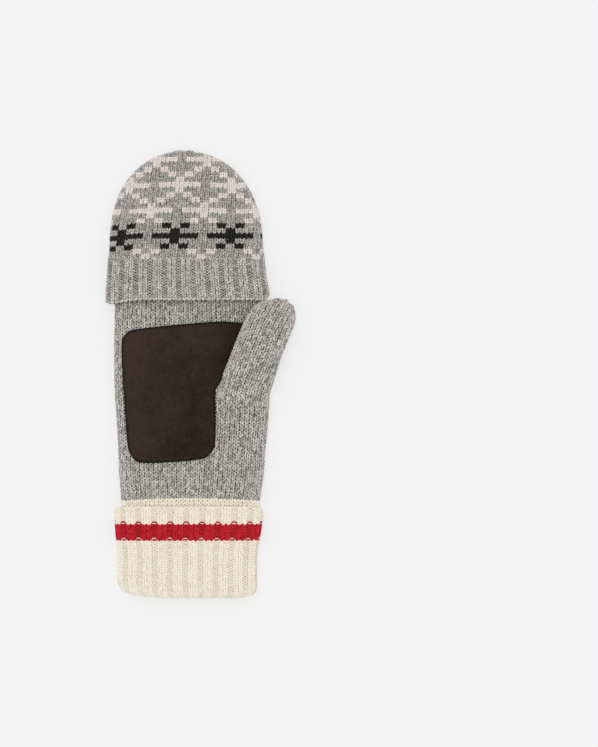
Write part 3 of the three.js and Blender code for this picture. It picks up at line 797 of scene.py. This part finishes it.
def even_levels(y, other, step):
    """y at even steps of length along a line, given by its y and what else it runs through."""
    length = added_up(np.linalg.norm(np.diff(np.stack([y, *other], 1), axis=0), axis=1))
    return np.interp(np.linspace(0, length[-1], round(length[-1] / step) + 1), length, y)


def anchored(lengths, widths, reach, wider=1.0):
    """Lengths to each place of a cloth, counted both ways from one length, by each row's width of column."""
    columns = np.arange(2 * reach * PLACES) / PLACES - reach
    return lengths[:, None] + widths[:, None] * np.where(columns > 0, wider, 1) * columns


def columns_kept(lengths, girths, rows, widths, reach, palm):
    """Columns and rows of the stitches on one side of a tube that narrows: outer columns run off its edge."""
    column, row = every_stitch(range(1, 2 * reach), range(rows))
    at = row.astype(int)
    along = lengths[at] + (column - reach) * widths[at]
    first, last = (0, 0.5) if palm else (0.5, 1)
    kept = (along > first * girths[at] - 0.5 * widths[at]) & (along < last * girths[at] + 0.5 * widths[at])
    return column[kept], row[kept]


thumb_y = np.linspace(THUMB[0, 0], THUMB[-1, 0], 400)
thumb_line = [read(THUMB, part, thumb_y) for part in (THUMB_X, THUMB_HEIGHT)]
thumb_levels = even_levels(thumb_y, thumb_line, THUMB_ROW)
width, height, thick = [read(THUMB, part, thumb_levels) for part in (THUMB_WIDTH, THUMB_HEIGHT, THUMB_THICK)]
thumb_sections = np.stack([-width / 2, width / 2, -thick / 2, thick / 2, thick / 2], 1)
thumb_girths = girth(thumb_sections, THUMB_SQUARE)
thumb_widths = np.interp(thumb_levels, (THUMB[0, 0], BASE_TOP_Y), (BASE_WIDTH, ABOVE_BASE_WIDTH))


def thumb_cloth(lengths):
    """The thumb's cloth with places at these lengths round it, and one round more that sinks into the palm."""
    local_x, local_z = spaced(thumb_sections, lengths, THUMB_SQUARE)
    turn = np.radians(read(THUMB, THUMB_TURN, thumb_levels))[:, None]
    roll = np.radians(read(THUMB, THUMB_ROLL, thumb_levels))[:, None]
    across = local_x * np.cos(roll) + local_z * np.sin(roll)
    up = local_z * np.cos(roll) - local_x * np.sin(roll)
    x = read(THUMB, THUMB_X, thumb_levels)[:, None] + across * np.cos(turn)
    y = thumb_levels[:, None] - across * np.sin(turn)
    points = np.stack([x, y, height[:, None] + up], -1)
    return cloth(np.concatenate([points[:1] - (0, THUMB_ROW, BASE_SINK), points]))


for name, palm in (("thumb_palm_yarn", True), ("thumb_back_yarn", False)):
    middle, shift = (PALM_MIDDLE, THUMB_SHIFT) if palm else (BACK_MIDDLE, -THUMB_SHIFT)
    lengths = thumb_girths * middle + shift
    grid = thumb_cloth(anchored(lengths, thumb_widths, THUMB_REACH))
    column, row = columns_kept(lengths, thumb_girths, len(thumb_levels) - 1, thumb_widths, THUMB_REACH, palm)
    first_round = column[row == 0]
    column, row = np.concatenate([first_round, column]), np.concatenate([0 * first_round, row + 1])
    add_yarn(name, knit(grid, column, row, THUMB_YARN), grey_yarn, "grey_knit", "thumb")
thumb_round = thumb_cloth(rounds(thumb_sections, BACKING_COLUMNS, 0, THUMB_SQUARE))[1:]
thumb_round[-1, :, 3:] = (0, 1, 0)
add_backing("thumb_backing", thumb_round, grey_shade_backing, inner=2.0)
add_yarn("thumb_fuzz", loose_fibres(thumb_round, count=900), loose_grey, "grey_knit", sides=3)


# The patch is one piece of dark brown suede with its nap outwards, cut with round corners and a slant that
# follows the thumb. It lies flat on the palm and is sewn on close to its edge, where the seam presses it down.
SUEDE = 1.2
PATCH_GAP = 0.3
SEAM_INSIDE = 2.2
EDGE_ROUND_REACH, EDGE_ROUND_DROP = 1.5, 0.75
GROOVE_HALF, GROOVE_DEPTH = 0.4, 0.25
RIM_DARK_REACH = 1.3
ACROSS_STEPS, ALONG_STEPS = 80, 90


def smooth_edge(corners, shares):
    """Places along a smooth curve through an edge's corners."""
    length = added_up(np.sqrt(np.linalg.norm(np.diff(corners, axis=0), axis=1)))
    at = shares * length[-1]
    return np.stack([read(np.column_stack([length, corners]), column, at) for column in (1, 2)], -1)


def patch_places(across, along):
    """Places on the patch, worked out from its four edges."""
    low, high = smooth_edge(PATCH_LOW, across)[None], smooth_edge(PATCH_HIGH, across)[None]
    left, right = smooth_edge(PATCH_LEFT, along)[:, None], smooth_edge(PATCH_RIGHT, along)[:, None]
    u, v = across[None, :, None], along[:, None, None]
    corners = (1 - u) * (1 - v) * low[:, :1] + u * (1 - v) * low[:, -1:]
    corners = corners + (1 - u) * v * high[:, :1] + u * v * high[:, -1:]
    return (1 - u) * left + u * right + (1 - v) * low + v * high - corners


def over_palm(places):
    """The height of the palm's knitting under each place."""
    rows = sections(HAND, places[:, 1])
    return np.array([palm_height(section, x)[1] for section, x in zip(rows, places[:, 0])])


patch_xy = patch_places(np.linspace(0, 1, ACROSS_STEPS + 1), np.linspace(0, 1, ALONG_STEPS + 1))
flat_xy = patch_xy.reshape(-1, 2)
rim = np.concatenate([patch_xy[0, :-1], patch_xy[:-1, -1], patch_xy[-1, :0:-1], patch_xy[:0:-1, 0]])
from_edge = np.maximum(reach_inside(rim, flat_xy), 0)
palm_z = over_palm(flat_xy)
rounding = EDGE_ROUND_DROP * (1 - np.sqrt(1 - (1 - np.clip(from_edge / EDGE_ROUND_REACH, 0, 1)) ** 2))
groove = GROOVE_DEPTH * np.exp(-(((from_edge - SEAM_INSIDE) / GROOVE_HALF) ** 2))
top_z = palm_z + PATCH_GAP + SUEDE - rounding - groove
top = np.column_stack([flat_xy, top_z])
bottom = np.column_stack([flat_xy, palm_z + PATCH_GAP])
index = np.arange(len(flat_xy)).reshape(ALONG_STEPS + 1, ACROSS_STEPS + 1)
quads = np.stack([index[:-1, :-1], index[:-1, 1:], index[1:, 1:], index[1:, :-1]], -1).reshape(-1, 4)
rim_index = np.concatenate([index[0, :-1], index[:-1, -1], index[-1, :0:-1], index[:0:-1, 0]])
next_index = np.roll(rim_index, -1)
count = len(flat_xy)
walls = np.stack([rim_index + count, next_index + count, next_index, rim_index], -1)
patch_faces = np.concatenate([quads, quads[:, ::-1] + count, walls])

# The suede is darker and more worn in places, and paler to the left and towards the fingers.
PALER_LEFT, PALER_UP = -8.0, 2.5
BRUSHED_WEIGHT, NAP_WEIGHT = 1.5, 1.6
suede, tree, shader = new_material("brown suede", 0.95, 0.2)
place = add_node(tree, "ShaderNodeTexCoord").outputs["Object"]
brushed = noise(tree, place, 38.0, 4.0, 0.8)
nap = noise(tree, place, 1500.0, 3.0, 0.7)
where = add_node(tree, "ShaderNodeSeparateXYZ", {"Vector": place})
worn = times_plus(tree, where.outputs["X"], PALER_LEFT, -0.2)
worn = times_plus(tree, brushed, BRUSHED_WEIGHT, worn)
worn = times_plus(tree, where.outputs["Y"], PALER_UP, worn)
nap_part = times_plus(tree, nap, NAP_WEIGHT, -0.95)
share = add_node(tree, "ShaderNodeMath", {0: worn, 1: nap_part}, operation="ADD").outputs["Value"]
brown = mixed_colour(tree, share, colour(25, 17, 13), colour(62, 47, 38))
# The suede darkens towards its rim: partly painted shade where the rim curves down, partly the darker pressed
# cut edge.
pressed_and_shaded_rim = add_node(tree, "ShaderNodeAttribute", attribute_name="pressed_and_shaded_rim").outputs["Fac"]
brown = mixed_colour(tree, pressed_and_shaded_rim, brown, colour(17, 12, 10))
bump = add_node(tree, "ShaderNodeBump", {"Height": nap, "Strength": 0.5, "Distance": 0.0003})
tree.links.new(brown, shader.inputs["Base Color"])
tree.links.new(bump.outputs["Normal"], shader.inputs["Normal"])
patch = add_mesh("palm_patch_suede", np.concatenate([top, bottom]), patch_faces, suede)
# How far in the rim's painted shade and pressed darkening reach.
rim_press_and_shade = np.tile(np.exp(-((from_edge / RIM_DARK_REACH) ** 2)), 2).astype(np.float32)
patch.data.attributes.new("pressed_and_shaded_rim", "FLOAT", "POINT").data.foreach_set("value", rim_press_and_shade)
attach(patch, "root")
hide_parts("palm_patch")


# The thread is fine, dark brown and smooth. It sews the patch to the palm in one line of short stitches all
# round, SEAM_INSIDE from the edge, and each stitch sinks into the suede at both ends.
THREAD_STEP = 2.6
THREAD_HALF = 0.2
THREAD_SINK = 0.2
thread_material = plain_yarn("brown thread", colour(50, 35, 27), colour(102, 78, 64), 0.7)
onward = np.roll(rim, -1, 0) - np.roll(rim, 1, 0)
seam = rim + SEAM_INSIDE * unit(np.stack([-onward[:, 1], onward[:, 0]], 1))
closed_seam = np.concatenate([seam, seam[:1]])
seam_length = added_up(np.linalg.norm(np.diff(closed_seam, axis=0), axis=1))
stitches = int(seam_length[-1] // THREAD_STEP)
along_stitch = np.array([0.06, 0.16, 0.36, 0.6, 0.8, 0.9])
stations = (np.arange(stitches)[:, None] + along_stitch) * seam_length[-1] / stitches
seam_xy = np.stack([np.interp(stations, seam_length, closed_seam[:, k]) for k in (0, 1)], -1)
seam_z = over_palm(seam_xy.reshape(-1, 2)).reshape(stations.shape) + PATCH_GAP + SUEDE - THREAD_SINK
seam_z += np.array([-0.3, 0.02, 0.14, 0.14, 0.02, -0.3])
thread = np.concatenate([seam_xy, seam_z[..., None]], -1)
facing_up = np.broadcast_to([0.0, 0.0, 1.0], thread.shape)
thread_thick = np.broadcast_to(THREAD_HALF * np.array([0, 0.8, 1, 1, 0.8, 0]), stations.shape)
add_yarn("palm_patch_thread", [thread, facing_up, thread_thick], thread_material, "brown_suede")


# The cap flips over the fingers. Its hem is a band of K2P1 rib in the same grey wool, knitted round as a tube
# that fits over the hand, and it ends in a cast-off edge that lifts a little beside the thumb.
# Rows of CAP: y, left, right, under, over.
CAP = np.array([
    (43, -60.0, 44.2, 0, 16.9),
    (52, -60.2, 43.3, 0, 16.9),
    (62, -59.7, 41.8, 0, 16.9),
    (74.3, -58.7, 40.5, 0, 16.8),
    (82, -57.7, 39.5, 0, 16.6),
    (85, -57.4, 39.2, 0, 16.5),
])
HEM_Y = 47.6
HEM_TOP_Y = 73.4
HEM_COLUMNS = 72
HEM_ROWS = 16
HEM_RIB_DEPTH = 0.28
HEM_PURL_THICKER = 1.1
HEM_EDGE_PAINTED_HIGHLIGHT = 0.6
HEM_OVERLAP = 0.8
HEM_MIDDLE_Y, HEM_PURL_X, HEM_PURL_COLUMN = 60.0, -13.6, 29
CAP_YARN = 0.72
CROWN_Y = 85
CROWN_REACH = 57.2
CROWN_ROUND, CROWN_LEAN = 2.1, 0.9
TIP_HALF, TIP_THICK, TIP_ROUND = 5.2, 12.5, 9
THUMB_LIFT, LEFT_DROP, CORNER_LIFT, SIDE_DROP, CROWN_ARCH = 3.4, 0.6, 1.2, 1.8, 2.6
LIFT_X, DROP_X, HEM_EASES_Y = (40, 44.5), (44, 58), (47.2, 74.3)
CORNER_X, CORNER_Y = (57.5, 60.5), (47, 56)
SIDE_X, SIDE_Y = (36, 58), (85, 125)
ARCH_BEGINS_Y, ARCH_ENDS_Y = (88, 112), (138, 120)


def cap_sections(y):
    """Sections of the cap at each y, closing in the crown to the short line where both sides are joined."""
    share = np.clip((y - CROWN_Y) / CROWN_REACH, 0, 1)
    rows = sections(CAP, y)
    middle = (rows[:, 0] + rows[:, 1]) / 2 - CROWN_LEAN * share
    narrowing = (1 - share**CROWN_ROUND) ** (1 / CROWN_ROUND)
    half = np.maximum((rows[:, 1] - rows[:, 0]) / 2 * narrowing, TIP_HALF)
    deepest = rows[:, 3] + (TIP_THICK - rows[:, 3]) * share
    thick = deepest * np.sqrt(1 - share**TIP_ROUND)
    widest = WIDEST * deepest
    in_crown = share > 0
    under = np.where(in_crown, widest - WIDEST * thick, rows[:, 2])
    over = np.where(in_crown, widest + (1 - WIDEST) * thick, rows[:, 3])
    return np.stack([middle - half, middle + half, under, over, over], 1)


def cap_drop(x, y, section):
    """How far a place on the cap is off its level: up at the hem beside the thumb, down at the left side."""
    left, right = section[:, :1], section[:, 1:2]
    across = np.clip(np.abs(2 * x - left - right) / np.maximum(right - left, 1), 0, 1)
    arch = CROWN_ARCH * across**2 * (1 - across**4) * ease(*ARCH_BEGINS_Y, y) * ease(*ARCH_ENDS_Y, y)
    hem = (1 - ease(*HEM_EASES_Y, y)) * (THUMB_LIFT * ease(*LIFT_X, x) - LEFT_DROP * ease(*DROP_X, -x))
    corner = CORNER_LIFT * ease(*CORNER_X, -x) * (1 - ease(*CORNER_Y, y))
    return hem + corner - SIDE_DROP * ease(*SIDE_X, -x) * (1 - ease(*SIDE_Y, y)) - arch


def cap_cloth(levels, lengths=None):
    """The cap's cloth at these levels, with places at given lengths round it, or else in line with the ribs."""
    rows = cap_sections(levels)
    x, z = spaced(rows, rounds(rows, HEM_COLUMNS, hem_start) if lengths is None else lengths)
    return cloth(np.stack([x, levels[:, None] + cap_drop(x, levels[:, None], rows), z], -1))


hem_section = cap_sections(np.array([HEM_MIDDLE_Y]))[0]
hem_start = length_at(hem_section, HEM_PURL_X) / outline(hem_section)[2][-1] - HEM_PURL_COLUMN / HEM_COLUMNS
hem_levels = np.linspace(HEM_Y, HEM_TOP_Y + HEM_OVERLAP, HEM_ROWS + 1)
hem_cloth = cap_cloth(hem_levels)
hem_lengths, _, raised = rib_yarn(hem_cloth, HEM_ROWS, HEM_COLUMNS, CAP_YARN, HEM_RIB_DEPTH, HEM_PURL_THICKER)
hem_lengths = joined(hem_lengths, finished_edge(hem_cloth, HEM_COLUMNS, 0, CAP_YARN))
# Lengths in the purl furrows are drawn a little darker: painted shade.
body_shades = rib_shades_with_painted_furrows(raised)
# The stitches of the hem's cast-off edge are drawn paler: a painted highlight on the edge.
highlit_edge_shades = HEM_EDGE_PAINTED_HIGHLIGHT + (1 - HEM_EDGE_PAINTED_HIGHLIGHT) * random.random(HEM_COLUMNS)
shades = np.concatenate([body_shades, highlit_edge_shades])
add_yarn("cap_hem_yarn", hem_lengths, grey_yarn, "grey_knit", "cap", shades=shades)


# Above its hem the cap is grey stockinette with bands of small snowflakes, knitted in with soft white and black
# wool. It is narrowed round by round to the crown's rounded tip, and goes on round the back in the same way.
# A snowflake's cell is two stitches wide and two rows high. A band is five cells high and repeats every six.
CAP_ROW = 1.647
CAP_REACH = 24
CAP_WIDTH = 2.871
RIGHT_WIDER = 1.033
CROWN_NARROWER, NARROWER_REACH, NARROWER_MOST = 0.07, 36, 1.2
MIDDLE_X, MIDDLE_LEAN, MIDDLE_Y = -16.2, 0.094, 88
PATTERN_YARN = 0.76
CROWN_SHADE = 0.55
SNOWFLAKE_HALF = 5
SNOWFLAKE = (".X.X.", "..X..", "XXXXX", "..X..", ".X.X.")
CELL_STITCHES, CELL_ROWS, REPEAT = 2, 2, 6
# From the hem up: the first row of each band, its colour, and its shift in stitches.
BANDS = ((-6, "white", 6), (4, "black", 0), (14, "white", 6), (24, "white", 0), (34, "white", 6))
white_yarn = plain_yarn("white yarn", colour(218, 207, 200), colour(248, 240, 233))
black_yarn = plain_yarn("black yarn", colour(20, 20, 20), colour(52, 50, 48))


def stitch_colours(column, row):
    """Each stitch's colour: 0 grey, 1 white, 2 black. Columns count from the middle of a black snowflake."""
    numbers = np.zeros(len(column), int)
    for first, name, shift in BANDS:
        cell_row = (row - first) // CELL_ROWS
        cell = ((column + SNOWFLAKE_HALF - shift) // CELL_STITCHES) % REPEAT
        for line, cells in enumerate(SNOWFLAKE):
            marked = np.array([mark == "X" for mark in cells + "."])
            hit = (cell_row == line) & marked[cell]
            numbers[hit] = 1 if name == "white" else 2
    return numbers


top_y = HEM_TOP_Y + (CROWN_Y + CROWN_REACH - HEM_TOP_Y) * (1 - (1 - np.linspace(0, 1, 1200)) ** 2)
top_levels = even_levels(top_y, [cap_sections(top_y)[:, 3]], CAP_ROW)
top_sections = cap_sections(top_levels)
top_girths = girth(top_sections)
crown_share = np.clip((top_levels - CROWN_Y) / NARROWER_REACH, 0, NARROWER_MOST)
top_widths = CAP_WIDTH * (1 - CROWN_NARROWER * crown_share)
middle_x = MIDDLE_X + MIDDLE_LEAN * (top_levels - MIDDLE_Y)
middle_lengths = np.array([length_at(section, x) for section, x in zip(top_sections, middle_x)])
for side, palm in (("palm", True), ("back", False)):
    lengths = middle_lengths if palm else top_girths - middle_lengths
    grid = cap_cloth(top_levels, anchored(lengths, top_widths, CAP_REACH, RIGHT_WIDER))
    grid[-1, :, 3:] = (0, 1, 0)
    between = lengths + top_widths / 2
    column, row = columns_kept(between, top_girths, len(top_levels) - 1, top_widths, CAP_REACH, palm)
    numbers = stitch_colours((column - CAP_REACH).astype(int), row.astype(int))
    for number, (tint, yarn) in enumerate((("grey", grey_yarn), ("white", white_yarn), ("black", black_yarn))):
        of_tint = numbers == number
        legs = knit(grid, column[of_tint] + 0.5, row[of_tint], PATTERN_YARN if number else CAP_YARN)
        shades = (1 if number else CROWN_SHADE) * random.random(len(legs[0]))
        add_yarn(f"cap_{side}_{tint}_yarn", legs, yarn, "grey_knit", "cap", shades=shades)


# Behind the stitches lies the inside of the cap's cloth, one wall from the hem to the tip, where the yarns not
# in use run across; its dark grey is painted shade. Fine loose grey fibres stand on the cap all round.
shell_levels = np.concatenate([hem_levels[:-1:2], top_levels[::2]])
shell = cap_cloth(shell_levels)
shell[-1, :, 3:] = (0, 1, 0)
add_backing("cap_backing", shell, grey_shade_backing, inner=2.8, rib_depth=HEM_RIB_DEPTH)
add_yarn("cap_fuzz", loose_fibres(shell, count=2100), loose_grey, "grey_knit", sides=3)
